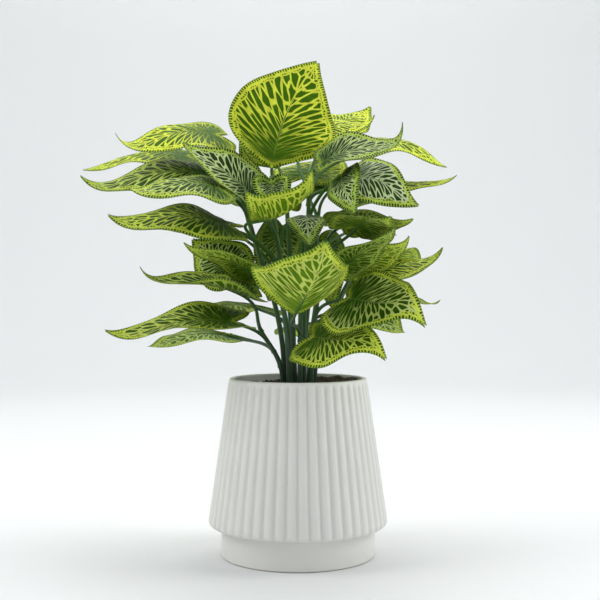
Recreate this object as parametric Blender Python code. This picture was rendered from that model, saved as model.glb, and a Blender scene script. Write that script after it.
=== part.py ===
"""Potted nerve plant: an artificial houseplant in a ribbed ceramic pot.

The plant is printed fabric leaves on thin plastic stems. The stems stand in plain
holes in the soil that fills the pot. Metres, +Z up, the pot's foot on z = 0, the
pot's axis on the Z axis and the side that faces the viewer towards -Y.
"""

import math

import bpy
import numpy as np

MM = 0.001
GAP = 0.3  # clearance between two neighbouring pieces, mm

# Pot, mm: (height, radius) of the main levels.
FOOT_R = 54.4
RING_R = 56.0
RING_TOP_Z = 22.0
BELLY_Z = 28.0
BELLY_R = 65.2
NECK_Z = 123.5
NECK_R = 51.0
RIM_Z = 129.0
WALL = 4.6
FLOOR_Z = 9.0
RIB_COUNT = 50
RIB_DEPTH = 1.5

# Soil, mm.
SOIL_Z = 124.0  # soil's height at the wall, before it slopes
SOIL_RISE = 1.5  # how much higher it is in the middle
SOIL_SLOPE = (0.065, 0.02)  # rise per mm to the right and to the back
HOLE_DEPTH = 29.0  # of the holes that the stems stand in, below SOIL_Z
STEM_STRAIGHT = 126.2  # a stem stands upright up to this height

# Stems and leaves, mm.
STEM_R = 2.0
PETIOLE_R = 1.25
BLADE = 0.8  # thickness of the laminated fabric blade


def clear_scene():
    """Removes every object, so that the model is the only thing in the file."""
    for old in list(bpy.data.objects):
        bpy.data.objects.remove(old, do_unlink=True)


def material(name, colour, roughness):
    """A plain Principled material; colour is linear RGB."""
    made = bpy.data.materials.new(name)
    made.use_nodes = True
    shader = made.node_tree.nodes["Principled BSDF"]
    shader.inputs["Base Color"].default_value = (*colour, 1.0)
    shader.inputs["Roughness"].default_value = roughness
    shader.inputs["Metallic"].default_value = 0.0
    return made


def add_object(name, points, faces, look):
    """Makes one object from points in mm and a list of faces."""
    mesh = bpy.data.meshes.new(name)
    mesh.from_pydata((np.asarray(points, dtype=float) * MM).tolist(), [], faces)
    mesh.materials.append(look)
    mesh.shade_smooth()
    mesh.set_sharp_from_angle(angle=math.radians(40.0))
    thing = bpy.data.objects.new(name, mesh)
    bpy.context.collection.objects.link(thing)
    return thing


def stitch(first, second):
    """Faces between two closed rings of vertex numbers.

    The rings run the same way round. Either both have the same count, or one count is
    a whole multiple of the other, and then each long edge fans out to the short ones.
    """
    faces = []
    a, b = len(first), len(second)
    if a >= b:
        step = a // b
        for j in range(b):
            k = (j + 1) % b
            for i in range(step):
                n = j * step + i
                if i == step // 2 and step > 1:
                    faces.append((first[n], second[k], second[j]))
                near = second[j] if i < step // 2 else second[k]
                if step == 1:
                    faces.append((first[n], first[(n + 1) % a], second[k], second[j]))
                else:
                    faces.append((first[n], first[(n + 1) % a], near))
        return faces
    return [tuple(reversed(face)) for face in stitch(second, first)]


def ring(z, radius, count, depth=0.0):
    """A closed ring of points; depth cuts a groove between each pair of ribs."""
    angle = np.arange(count) * 2.0 * math.pi / count
    if depth:
        # Four points to a rib: groove, shoulder, crest, shoulder.
        shape = np.array([-1.0, 0.1, 0.35, 0.1])
        radius = radius + depth * np.tile(shape, count // 4)
    return np.column_stack(
        [radius * np.cos(angle), radius * np.sin(angle), np.full(count, z)]
    )


def turned(name, levels, look):
    """A closed body turned from rings; the first and last rings close at the axis.

    levels is a list of (z, radius, count, rib depth) from the middle of the
    underside, outwards and up, and back in over the top to the middle.
    """
    points = [(0.0, 0.0, levels[0][0])]
    faces = []
    before = None
    for z, radius, count, depth in levels:
        start = len(points)
        points.extend(ring(z, radius, count, depth).tolist())
        now = list(range(start, start + count))
        if before is None:
            faces.extend((0, now[(i + 1) % count], now[i]) for i in range(count))
        else:
            faces.extend(stitch(before, now))
        before = now
    points.append((0.0, 0.0, levels[-1][0]))
    last = len(points) - 1
    count = len(before)
    faces.extend((before[i], before[(i + 1) % count], last) for i in range(count))
    return add_object(name, points, faces, look)


def make_pot():
    """The cast pot: smooth base ring, ribbed body that narrows upwards, plain lip."""
    glaze = material("pot_glaze", (0.72, 0.72, 0.68), 0.42)
    ribs = RIB_COUNT * 4
    plain = RIB_COUNT
    levels = [
        (0.0, FOOT_R, plain, 0.0),
        (1.6, RING_R, plain, 0.0),
        (RING_TOP_Z - 0.2, RING_R, plain, 0.0),
        (RING_TOP_Z, 60.6, ribs, 0.5),
        (RING_TOP_Z + 1.8, 64.1, ribs, RIB_DEPTH),
        (BELLY_Z, BELLY_R, ribs, RIB_DEPTH),
        (NECK_Z, NECK_R, ribs, RIB_DEPTH),
        (RIM_Z - 1.6, NECK_R - 0.7, plain, 0.0),
        (RIM_Z, NECK_R - 1.9, plain, 0.0),
        (RIM_Z, NECK_R - 3.4, plain, 0.0),
        (RIM_Z - 1.6, NECK_R - WALL, plain, 0.0),
        (BELLY_Z + 4.0, BELLY_R - WALL - 1.0, plain, 0.0),
        (RING_TOP_Z + 3.0, RING_R - 3.5, plain, 0.0),
        (FLOOR_Z + 3.0, RING_R - 5.5, plain, 0.0),
        (FLOOR_Z, RING_R - 9.0, plain, 0.0),
    ]
    return turned("pot", levels, glaze)


# Stems: name, root on the soil (x, y), point where the main stem ends (x, y, z).
STEMS = {
    "stem_01": ((-3.0, -4.0), (-8.0, -5.0, 254.0)),
    "stem_02": ((4.0, -3.0), (8.0, 0.0, 258.0)),
    "stem_03": ((4.5, 4.5), (15.0, 22.0, 240.0)),
    "stem_04": ((-2.5, 4.0), (-17.0, 16.0, 240.0)),
    "stem_05": ((-10.0, 5.5), (-37.0, 14.0, 246.0)),
    "stem_06": ((-6.5, -11.0), (-14.0, -24.0, 208.0)),
    "stem_07": ((1.5, -11.5), (3.0, -20.0, 222.0)),
    "stem_08": ((9.5, -9.0), (20.0, -12.0, 225.0)),
    "stem_09": ((12.0, 0.0), (29.0, 9.0, 180.0)),
    "stem_10": ((8.5, 11.0), (16.0, 30.0, 200.0)),
    "stem_11": ((-3.5, 12.0), (-16.0, 30.0, 200.0)),
    "stem_12": ((-11.0, -2.5), (-28.0, 0.0, 165.0)),
}

# Leaves: name, stem, where the petiole meets the blade, tip, the way the printed face
# looks, width, arch of the midrib, rise of the drip tip from its elbow, lift of the
# two edges, twist in degrees towards the tip, sideways bow, how far the lobes reach
# back past the petiole. Lengths in mm.
LEAVES = [
    ("leaf_01", "stem_01", (-19, -12, 281), (16, 14, 365), (0.1, -1.0, 0.3), 80, 4, 0, 5, 3, 0, 6, 0.2),
    ("leaf_02", "stem_01", (-14, 30, 286), (-36, 44, 346), (0.1, 1.0, 0.3), 46, 4, 0, -3, -3, 0, -3, 0),
    ("leaf_03", "stem_02", (26, 62, 318), (60, 94, 347), (0.2, -0.3, 0.9), 44, 4, 6, -3, -4, 0, 0, 0.4),
    ("leaf_04", "stem_02", (6, 30, 308), (59, 30, 329), (0.3, -0.4, 0.85), 44, 4, 8, -3, -3, 0, 0, 1),
    ("leaf_05", "stem_02", (42, 32, 301), (114, 24, 286), (0.25, -0.4, 0.9), 56, 14, 4, -4, -4, 0, 0, 1),
    ("leaf_06", "stem_02", (13, -42, 280), (71, -56, 310), (0.0, -0.5, 0.86), 48, 0, 14, 3, 3, 0, 0, 0.6),
    ("leaf_07", "stem_02", (30, -16, 271), (86, -34, 252), (0.0, -0.72, 0.7), 56, 14, 6, -3, -3, 0, 0, 0.5),
    ("leaf_08", "stem_08", (33, 2, 243), (82, -34, 244), (0.0, 0.35, 0.93), 50, 4, 5, -3, -3, 0, 0, 1),
    ("leaf_09", "stem_08", (39, -34, 236), (62, -82, 242), (0.1, 0.4, 0.9), 44, 4, 5, -3, -3, 0, 0, 1),
    ("leaf_10", "stem_02", (30, -48, 273), (36, -92, 242), (-0.6, -0.5, 0.5), 30, 4, 4, -2, -2, 0, 0, 1),
    ("leaf_11", "stem_06", (-34, -48, 241), (9, -92, 272), (-0.45, -0.05, 0.9), 62, -12, 2, 8, 22, 0, 0, 0),
    ("leaf_12", "stem_07", (5, -16, 247), (8, -64, 223), (0.0, -0.5, 0.85), 30, 6, 4, -3, -3, 0, 0, 1),
    ("leaf_13", "stem_01", (-19, -34, 271), (-16, -40, 246), (0.1, -1.0, 0.1), 28, 2, 0, 3, 3, 0, 0, 1),
    ("leaf_14", "stem_04", (-24, 25, 263), (-42, 16, 302), (-0.75, -0.55, 0.3), 32, 3, 0, 3, 3, 0, 0, 0),
    ("leaf_15", "stem_04", (-44, 62, 284), (-88, 106, 302), (-0.2, -0.1, 0.95), 54, 5, 4, -2, -2, 0, 0, 1),
    ("leaf_16", "stem_05", (-58, 14, 309), (-134, -8, 310), (0.0, -0.48, 0.87), 62, 4, 14, -3, -3, 0, 0, 1),
    ("leaf_17", "stem_05", (-84, 54, 299), (-172, 60, 289), (0.0, -0.35, 0.94), 58, 8, 4, -3, -3, 0, 0, 1),
    ("leaf_18", "stem_05", (-58, -4, 277), (-159, -14, 278), (0.0, -0.5, 0.87), 60, 5, 13, -3, -3, 0, 0, 1),
    ("leaf_19", "stem_05", (-52, -48, 263), (-117, -66, 266), (0.0, -0.45, 0.9), 48, 4, 9, -3, -3, 0, 0, 1),
    ("leaf_20", "stem_06", (-46, -30, 238), (-132, -50, 246), (-0.1, -0.4, 0.9), 60, 6, 8, -3, -4, 10, 0, 1),
    ("leaf_21", "stem_04", (-29, -20, 256), (-82, -34, 298), (0.45, -0.6, 0.65), 58, 4, 3, 8, 3, 0, 0, 1),
    ("leaf_22", "stem_11", (-50, 50, 208), (-86, 74, 236), (-0.1, -0.85, 0.5), 48, 4, 4, -3, -3, 0, 0, 1),
    ("leaf_23", "stem_06", (-30, -28, 203), (-78, -60, 226), (0.1, 0.3, 0.93), 36, 4, 4, -2, -2, 0, 0, 1),
    ("leaf_24", "stem_12", (-34, -12, 188), (-113, -26, 212), (0.1, -0.3, 0.95), 62, 2, 10, 13, 2, 0, 0, 1),
    ("leaf_25", "stem_12", (-44, -20, 171), (-137, -36, 166), (0.0, -0.45, 0.9), 60, 4, 8, 9, -2, 0, 0, 1),
    ("leaf_26", "stem_12", (-52, 32, 160), (-121, 68, 149), (-0.2, 0.3, 0.9), 56, 5, 3, -2, -2, 0, 0, 1),
    ("leaf_27", "stem_07", (-3, -50, 176), (18, -98, 226), (-0.15, 0.6, 0.8), 80, -6, 3, 22, 16, 0, 0, 0),
    ("leaf_28", "stem_08", (30, -22, 206), (67, -50, 237), (-0.3, 0.3, 0.9), 50, 3, 4, -2, -2, 0, 0, 1),
    ("leaf_29", "stem_09", (37, 2, 203), (81, -8, 234), (-0.2, 0.45, 0.9), 48, 2, 6, -2, -2, 0, 0, 0.5),
    ("leaf_30", "stem_09", (48, 40, 198), (113, 44, 229), (0.0, -0.3, 0.95), 56, 3, 8, -3, -3, 0, 0, 1),
    ("leaf_31", "stem_08", (34, -26, 188), (88, -62, 165), (-0.1, -0.8, 0.65), 64, 6, -14, -3, -3, 0, 0, 1),
    ("leaf_32", "stem_07", (8, -31, 160), (61, -61, 143), (0.0, -0.7, 0.7), 56, 6, -10, -3, -3, 0, 0, 1),
    ("leaf_33", "stem_03", (22, 36, 270), (78, 90, 292), (0.3, 0.1, 0.9), 58, 6, 6, -3, -3, 0, 0, 1),
    ("leaf_34", "stem_03", (6, 50, 282), (24, 118, 308), (0.0, -0.1, 0.95), 60, 6, 6, -3, -3, 0, 0, 1),
    ("leaf_35", "stem_04", (-22, 44, 262), (-50, 112, 284), (-0.1, 0.2, 0.9), 60, 6, 6, -3, -3, 0, 0, 1),
    ("leaf_36", "stem_11", (-48, 42, 240), (-112, 86, 246), (-0.3, 0.3, 0.9), 60, 6, 6, -3, -3, 0, 0, 1),
    ("leaf_37", "stem_03", (44, 46, 244), (70, 104, 236), (0.3, 0.2, 0.9), 58, 7, 6, -3, -3, 0, 0, 1),
    ("leaf_38", "stem_09", (60, 64, 222), (104, 112, 214), (0.2, 0.4, 0.9), 56, 7, 6, -3, -3, 0, 0, 1),
    ("leaf_39", "stem_10", (16, 60, 236), (30, 96, 178), (0.2, 0.9, 0.4), 40, 7, 6, -3, -3, 0, 0, 1),
    ("leaf_40", "stem_11", (-12, 44, 244), (-24, 78, 184), (-0.2, 0.9, 0.4), 40, 7, 6, -3, -3, 0, 0, 1),
    ("leaf_41", "stem_11", (-32, 40, 182), (-88, 96, 168), (-0.2, 0.4, 0.9), 60, 7, 6, -3, -3, 0, 0, 1),
    ("leaf_42", "stem_10", (32, 38, 178), (88, 92, 160), (0.2, 0.4, 0.9), 60, 7, 6, -3, -3, 0, 0, 1),
    ("leaf_43", "stem_10", (6, 42, 168), (34, 106, 146), (0.0, 0.4, 0.9), 60, 7, 6, -3, -3, 0, 0, 1),
    ("leaf_44", "stem_09", (54, -4, 181), (108, 22, 187), (0.1, 0.1, 1.0), 44, 6, 6, -3, -3, 0, 0, 1),
    ("leaf_45", "stem_03", (46, 36, 262), (119, 8, 280), (0.0, -0.35, 0.94), 50, 5, 6, -3, -3, 0, 0, 1),
]

# Half outline of a blade, from the notch where the petiole meets it, back round the
# lobe, out to the widest place and on to the drip tip. Each row gives a place on the
# midrib, the place along the leaf of the margin that its side vein runs to, that
# place on a blade without lobes, and the margin's distance from the midrib as a share
# of the half width.
OUTLINE = np.array(
    [
        (0.000, 0.000, 0.000, 0.00),
        (0.004, -0.080, 0.070, 0.24),
        (0.012, -0.120, 0.150, 0.51),
        (0.028, -0.080, 0.230, 0.78),
        (0.055, 0.040, 0.310, 0.95),
        (0.100, 0.200, 0.390, 1.00),
        (0.165, 0.375, 0.490, 0.93),
        (0.260, 0.540, 0.610, 0.76),
        (0.400, 0.700, 0.740, 0.52),
        (0.630, 0.860, 0.870, 0.25),
        (1.000, 1.000, 1.000, 0.00),
    ]
)


def through(rows, t):
    """Smooth curve through evenly spaced rows of numbers, read at t from 0 to 1."""
    rows = np.asarray(rows, dtype=float)
    padded = np.vstack([2 * rows[0] - rows[1], rows, 2 * rows[-1] - rows[-2]])
    place = np.clip(t, 0.0, 1.0) * (len(rows) - 1)
    low = np.minimum(place.astype(int), len(rows) - 2)
    f = (place - low)[..., None]
    p0, p1, p2, p3 = (padded[low + k] for k in range(4))
    bend = -p0 + 3 * p1 - 3 * p2 + p3
    return p1 + 0.5 * f * (p2 - p0 + f * (2 * p0 - 5 * p1 + 4 * p2 - p3 + f * bend))


def unit(vector):
    """Vectors scaled to length one along the last axis."""
    vector = np.asarray(vector, dtype=float)
    return vector / np.linalg.norm(vector, axis=-1, keepdims=True)


def leaf_surface(leaf, t, v):
    """Middle surface of a blade in mm and its normals.

    t runs from the notch to the tip along the side veins' order, v from one margin
    (-1) over the midrib (0) to the other (+1).
    """
    number = int(leaf[0][-2:])
    base, tip, face = (np.array(p, dtype=float) for p in leaf[2:5])
    width, arch, hook, lift_a, lift_b, twist, side, lobe = leaf[5:]
    length = np.linalg.norm(tip - base)
    along = unit(tip - base)
    up = unit(face - along * np.dot(face, along))
    across = np.cross(up, along)

    rib, lobed, plain, spread = np.moveaxis(through(OUTLINE, t), -1, 0)
    reach = lobe * lobed + (1.0 - lobe) * plain
    edge = np.abs(v)
    s = rib + (reach - rib) * edge
    w = np.sign(v) * spread * edge * width / 2.0

    # The midrib arches over, and the drip tip rises again from an elbow at 80 %.
    peak = 0.08192
    lift = arch * 4.0 * s * (1.0 - s) - hook * s**4 * (1.0 - s) / peak
    slope = arch * (4.0 - 8.0 * s) - hook * (4.0 * s**3 - 5.0 * s**4) / peak
    bow = side * 4.0 * s * (1.0 - s)
    drift = side * (4.0 - 8.0 * s)
    spine = base + along * (length * s)[..., None] + up * lift[..., None] + across * bow[..., None]
    run = unit(along * length + up * slope[..., None] + across * drift[..., None])
    normal = unit(up - run * (run @ up)[..., None])
    flat = np.cross(normal, run)
    turn = np.radians(twist) * s
    cos, sin = np.cos(turn)[..., None], np.sin(turn)[..., None]
    normal, flat = normal * cos + flat * sin, flat * cos - normal * sin

    # Each half curls up or down towards its margin, and the margin waves.
    part = np.abs(w) / (width / 2.0)
    curl = np.where(v >= 0.0, lift_a, lift_b)
    w = w * np.sqrt(1.0 - part * (curl / (width / 2.0)) ** 2)
    phase = 0.618 * number + np.where(v >= 0.0, 0.0, 0.37)
    wave = 0.035 * width * np.sin(2.0 * np.pi * (2.6 * t + phase)) * np.sin(np.pi * t)
    height = curl * part**1.5 + wave * edge**2
    tilt = np.sign(v) * 1.5 * curl * part**0.5 / (width / 2.0)
    points = spine + flat * w[..., None] + normal * height[..., None]
    return points, unit(normal - flat * tilt[..., None])


def make_leaf(leaf, look):
    """One blade: the same triangles on both faces and a narrow wall round the margin."""
    rows = np.linspace(0.0, 1.0, 11)[1:-1]
    cols = np.array([-1.0, -0.55, 0.0, 0.55, 1.0])
    t, v = np.meshgrid(rows, cols, indexing="ij")
    middle, normal = leaf_surface(leaf, t, v)
    ends, end_normal = leaf_surface(leaf, np.array([0.0, 0.985]), np.zeros(2))
    count_r, count_c = t.shape
    points = np.vstack([middle.reshape(-1, 3), ends])
    normals = np.vstack([normal.reshape(-1, 3), end_normal])
    total = len(points)
    notch, point = total - 2, total - 1

    top = []
    for r in range(count_r - 1):
        for c in range(count_c - 1):
            a = r * count_c + c
            b, d = a + 1, a + count_c
            e = d + 1
            if c < count_c // 2:
                top += [(a, d, e), (a, e, b)]
            else:
                top += [(a, d, b), (b, d, e)]
    last = (count_r - 1) * count_c
    for c in range(count_c - 1):
        top.append((notch, c, c + 1))
        top.append((last + c, point, last + c + 1))
    # Walk round the margin: notch, one side out, tip, other side back.
    rim = [notch] + [r * count_c for r in range(count_r)] + [point]
    rim += [r * count_c + count_c - 1 for r in reversed(range(count_r))]
    faces = top + [tuple(i + total for i in reversed(f)) for f in top]
    for i, a in enumerate(rim):
        b = rim[(i + 1) % len(rim)]
        faces.append((b, a, a + total))
        faces.append((b, a + total, b + total))
    upper = points + normals * (BLADE / 2.0)
    lower = points - normals * (BLADE / 2.0)
    return add_object(leaf[0], np.vstack([upper, lower]), faces, look)


def bezier(p0, p1, p2, p3, count):
    """Evenly stepped points on a cubic curve."""
    u = np.linspace(0.0, 1.0, count)[:, None]
    w = 1.0 - u
    return w**3 * p0 + 3 * w * w * u * p1 + 3 * w * u * u * p2 + u**3 * p3


def tube(name, path, radius, sides, look):
    """A round rod along a path, its radius given at each point, with flat ends."""
    path = np.asarray(path, dtype=float)
    tangent = unit(np.gradient(path, axis=0))
    side = np.cross(tangent[0], (0.0, 1.0, 0.0))
    if np.linalg.norm(side) < 0.1:
        side = np.cross(tangent[0], (1.0, 0.0, 0.0))
    points = []
    for place, way, size in zip(path, tangent, radius):
        side = unit(side - way * np.dot(side, way))
        other = np.cross(way, side)
        for k in range(sides):
            a = 2.0 * math.pi * (k + 0.5) / sides
            points.append(place + size * (math.cos(a) * side + math.sin(a) * other))
    faces = [tuple(range(sides - 1, -1, -1))]
    for i in range(len(path) - 1):
        for k in range(sides):
            a, b = i * sides + k, i * sides + (k + 1) % sides
            faces.append((a, b, b + sides, a + sides))
    faces.append(tuple(range((len(path) - 1) * sides, len(path) * sides)))
    return add_object(name, points, faces, look)


def main_path(name):
    """Centre line of a main stem, from its foot in the soil to its end."""
    (x, y), top = STEMS[name]
    top = np.array(top)
    foot = np.array((x, y, SOIL_Z - HOLE_DEPTH + GAP))
    start = np.array((x, y, STEM_STRAIGHT))
    rise = top[2] - start[2]
    curve = bezier(
        start,
        start + np.array((0.0, 0.0, 0.45 * rise)),
        top - np.array((0.35 * (top[0] - x), 0.35 * (top[1] - y), 0.3 * rise)),
        top,
        8,
    )
    return np.vstack([foot, curve])


def petiole_path(leaf, path):
    """Centre line of a leaf stalk, from inside the main stem to under the midrib."""
    base, tip, face = (np.array(p, dtype=float) for p in leaf[2:5])
    middle, normals = leaf_surface(leaf, np.array([0.3]), np.zeros(1))
    under, normal = middle[0], normals[0]
    end = under - normal * (BLADE / 2.0 + GAP + PETIOLE_R)
    away = np.linalg.norm(base[:2] - path[-1][:2])
    level = base[2] - 0.6 * away - 10.0
    index = int(np.clip(np.searchsorted(path[:, 2], level), 3, len(path) - 1))
    climb = unit(path[index] - path[index - 1])
    start = path[index] - climb * 3.0
    reach = np.linalg.norm(end - start)
    along = unit(under - base)
    return bezier(
        start,
        start + climb * 0.4 * reach,
        end - along * min(26.0, 0.45 * reach) - normal * 3.0,
        end,
        6,
    )


def combine(body, others, operation):
    """Fuses other closed bodies into one (UNION) or cuts them out of it (DIFFERENCE)."""
    group = bpy.data.collections.new("parts_of_" + body.name)
    for other in others:
        bpy.context.collection.objects.unlink(other)
        group.objects.link(other)
    step = body.modifiers.new("combine", "BOOLEAN")
    step.operation = operation
    step.operand_type = "COLLECTION"
    step.collection = group
    step.solver = "EXACT"
    graph = bpy.context.evaluated_depsgraph_get()
    result = bpy.data.meshes.new_from_object(body.evaluated_get(graph))
    body.modifiers.clear()
    body.data = result
    for other in list(group.objects):
        bpy.data.objects.remove(other, do_unlink=True)
    bpy.data.collections.remove(group)


def make_stem(name, look):
    """One main stem with the stalks of its leaves fused to it."""
    path = main_path(name)
    size = np.linspace(STEM_R, 1.6, len(path))
    size[:2] = STEM_R
    stem = tube(name, path, size, 8, look)
    stalks = []
    for leaf in (one for one in LEAVES if one[1] == name):
        line = petiole_path(leaf, path)
        thin = np.linspace(PETIOLE_R + 0.15, PETIOLE_R - 0.15, len(line))
        stalks.append(tube("stalk_" + leaf[0], line, thin, 6, look))
    combine(stem, stalks, "UNION")
    return stem


def make_soil():
    """The soil that fills the pot, with an uneven top and one plain hole per stem."""
    brown = material("soil_brown", (0.018, 0.014, 0.010), 0.95)
    plain = RIB_COUNT
    low_z, low_r = BELLY_Z + 4.0, BELLY_R - WALL - 1.0
    high_z, high_r = RIM_Z - 1.6, NECK_R - WALL
    edge_r = low_r + (SOIL_Z - low_z) / (high_z - low_z) * (high_r - low_r)
    levels = [
        (FLOOR_Z + GAP, RING_R - 9.4, plain, 0.0),
        (FLOOR_Z + 3.0, RING_R - 6.0, plain, 0.0),
        (RING_TOP_Z + 3.0, RING_R - 4.0, plain, 0.0),
        (BELLY_Z + 4.0, low_r - 0.5, plain, 0.0),
        (SOIL_Z - 6.0, edge_r + 0.3, plain, 0.0),
        (SOIL_Z - 1.0, edge_r - 1.0, plain, 0.0),
        (SOIL_Z, edge_r - 2.5, plain, 0.0),
        (SOIL_Z + 0.6 * SOIL_RISE, 32.0, 25, 0.0),
        (SOIL_Z + SOIL_RISE, 20.0, 25, 0.0),
    ]
    soil = turned("soil", levels, brown)
    # The top slopes up to one side, and the heap in the middle is lumpy.
    for vertex in soil.data.vertices:
        x, y, z = vertex.co / MM
        if z > SOIL_Z - 2.0:
            lump = 0.5 * math.sin(0.11 * x + 0.7) + 0.4 * math.sin(0.35 * y + 0.2 * x)
            slope = SOIL_SLOPE[0] * x + SOIL_SLOPE[1] * y
            vertex.co.z += MM * (slope + lump * min(1.0, max(0.0, z - SOIL_Z)))
    drills = []
    radius = (STEM_R + GAP) / math.cos(math.pi / 12.0)
    for name, ((x, y), _) in STEMS.items():
        path = [(x, y, SOIL_Z - HOLE_DEPTH), (x, y, SOIL_Z + SOIL_RISE + 6.0)]
        drills.append(tube("drill_" + name, path, [radius, radius], 12, brown))
    combine(soil, drills, "DIFFERENCE")
    return soil


clear_scene()
make_pot()
make_soil()
stem_look = material("stem_plastic", (0.030, 0.085, 0.018), 0.5)
for stem_name in STEMS:
    make_stem(stem_name, stem_look)
leaf_look = material("leaf_fabric", (0.12, 0.26, 0.03), 0.45)
for one in LEAVES:
    make_leaf(one, leaf_look)
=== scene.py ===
import math

import bpy
import numpy as np
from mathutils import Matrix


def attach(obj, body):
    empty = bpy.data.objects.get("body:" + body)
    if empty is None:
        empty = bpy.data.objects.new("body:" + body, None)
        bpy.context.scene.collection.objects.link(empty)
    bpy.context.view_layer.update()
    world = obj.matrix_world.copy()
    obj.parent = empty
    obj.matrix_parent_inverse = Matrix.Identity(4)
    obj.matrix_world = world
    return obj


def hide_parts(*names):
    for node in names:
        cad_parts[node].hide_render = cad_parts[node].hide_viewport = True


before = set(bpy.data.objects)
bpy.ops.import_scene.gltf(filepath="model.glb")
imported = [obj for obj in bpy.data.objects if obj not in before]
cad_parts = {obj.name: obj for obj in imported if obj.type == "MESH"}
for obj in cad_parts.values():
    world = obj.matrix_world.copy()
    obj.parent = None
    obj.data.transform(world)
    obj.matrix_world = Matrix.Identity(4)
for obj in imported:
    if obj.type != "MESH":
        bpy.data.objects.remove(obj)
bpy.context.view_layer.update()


# The pot. Slip-cast earthenware under a satin white glaze: a smooth base ring, a body of
# fifty upright ribs that narrows upwards and a thin plain lip. Ribs and ring come from
# the mould, the glaze is dipped, and the foot is wiped clean of glaze so that it doesn't
# stick; its dark clay colour is also painted shadow where the pot meets the floor.
MM = 0.001
RIB_COUNT = 50
RIB_DEPTH = 1.5
STEPS_PER_RIB = 12
POT_CORNERS = [  # radius, height and rounding of each corner of the profile, mm
    (53.0, 0.0, 0.0),
    (56.0, 0.0, 1.6),
    (56.0, 22.0, 0.8),
    (65.6, 22.0, 5.0),
    (50.2, 129.0, 1.5),
    (46.3, 129.0, 1.4),
    (59.6, 32.0, 3.0),
    (50.5, 9.0, 3.0),
    (40.0, 9.0, 0.0),
]
STEPS_PER_CORNER = 9
# Rows added to the long straight side, so that the ribs fade in and out smoothly.
SIDE_ROWS = [30.0, 34.0, 50.0, 75.0, 100.0, 118.0, 121.0, 123.5, 125.0, 126.2]
# Heights between which the ribs rise out of the side at the foot and sink into it at
# the lip.
RIB_FOOT = (21.9, 24.2)
RIB_HEAD = (123.5, 128.4)


def rounded_profile(corners, steps):
    """A polyline whose corners are parabolas.

    Each parabola starts the rounding length before its corner, ends the same length
    after it, and is the quadratic curve whose middle handle is the corner itself.
    """
    corners = np.asarray(corners, dtype=float)
    line = [corners[:1, :2]]
    u = np.linspace(0.0, 1.0, steps)[:, None]
    for before, here, after in zip(corners[:-2], corners[1:-1], corners[2:]):
        back = (before - here)[:2] / np.linalg.norm((before - here)[:2])
        ahead = (after - here)[:2] / np.linalg.norm((after - here)[:2])
        start, end = here[:2] + back * here[2], here[:2] + ahead * here[2]
        line.append((1 - u) ** 2 * start + 2 * u * (1 - u) * here[:2] + u**2 * end)
    return np.vstack(line + [corners[-1:, :2]])


def smooth_step(low, high, x):
    """0 below low, 1 above high, and the cubic 3u2 - 2u3 between them."""
    u = np.clip((x - low) / (high - low), 0.0, 1.0)
    return u * u * (3.0 - 2.0 * u)


def grid_faces(rows, columns, closed=False):
    """Quads of a grid of points; a closed grid joins its last column to its first."""
    r = np.arange(rows - 1)[:, None]
    c = np.arange(columns if closed else columns - 1)[None, :]
    a, b = r * columns + c, r * columns + (c + 1) % columns
    return np.stack([a, b, b + columns, a + columns], axis=-1).reshape(-1, 4)


def lidded_faces(rows, columns):
    """Faces of a round body: a closed grid of quads and a flat lid at each end."""
    first, last = range(columns), range((rows - 1) * columns, rows * columns)
    return grid_faces(rows, columns, closed=True).tolist() + [list(first)[::-1], list(last)]


def add_piece(name, points, faces, materials, node_names, fields=None, sharp=40.0):
    """Makes one piece from points in mm and faces, and ties it to the solids it stands for.

    fields maps the name of a point attribute to one number or one vector per point.
    """
    mesh = bpy.data.meshes.new(name)
    mesh.from_pydata((np.asarray(points) * MM).tolist(), [], faces)
    for each in materials:
        mesh.materials.append(each)
    for key, values in (fields or {}).items():
        values = np.asarray(values, dtype=np.float32)
        kind = "FLOAT" if values.ndim == 1 else "FLOAT_VECTOR"
        spot = mesh.attributes.new(key, kind, "POINT")
        spot.data.foreach_set("value" if values.ndim == 1 else "vector", values.ravel())
    mesh.shade_smooth()
    mesh.set_sharp_from_angle(angle=math.radians(sharp))
    piece = bpy.data.objects.new(name, mesh)
    bpy.context.scene.collection.objects.link(piece)
    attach(piece, "root")
    if node_names:
        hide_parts(*node_names)
    return piece


def srgb(code):
    """Linear RGBA of an sRGB hex colour such as "#c8d86a"."""
    parts = [int(code[i : i + 2], 16) / 255.0 for i in (1, 3, 5)]
    return (*[p / 12.92 if p <= 0.04045 else ((p + 0.055) / 1.055) ** 2.4 for p in parts], 1.0)


def add(tree, kind, inputs=None, **settings):
    """Adds a node, sets its properties, and gives its inputs their values or links."""
    node = tree.nodes.new("ShaderNode" + kind)
    for key, value in settings.items():
        setattr(node, key, value)
    for key, value in (inputs or {}).items():
        if isinstance(value, bpy.types.NodeSocket):
            tree.links.new(value, node.inputs[key])
        else:
            node.inputs[key].default_value = value
    return node


def new_material(name):
    """An empty material with its Principled shader; returns (material, tree, shader)."""
    made = bpy.data.materials.new(name)
    made.use_nodes = True
    return made, made.node_tree, made.node_tree.nodes["Principled BSDF"]


def add_relief(tree, shader, height, strength, distance):
    """Lets a height socket shape the surface's normals, over a distance in metres."""
    bump = add(tree, "Bump", {"Height": height, "Strength": strength, "Distance": distance})
    tree.links.new(bump.outputs["Normal"], shader.inputs["Normal"])


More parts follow.
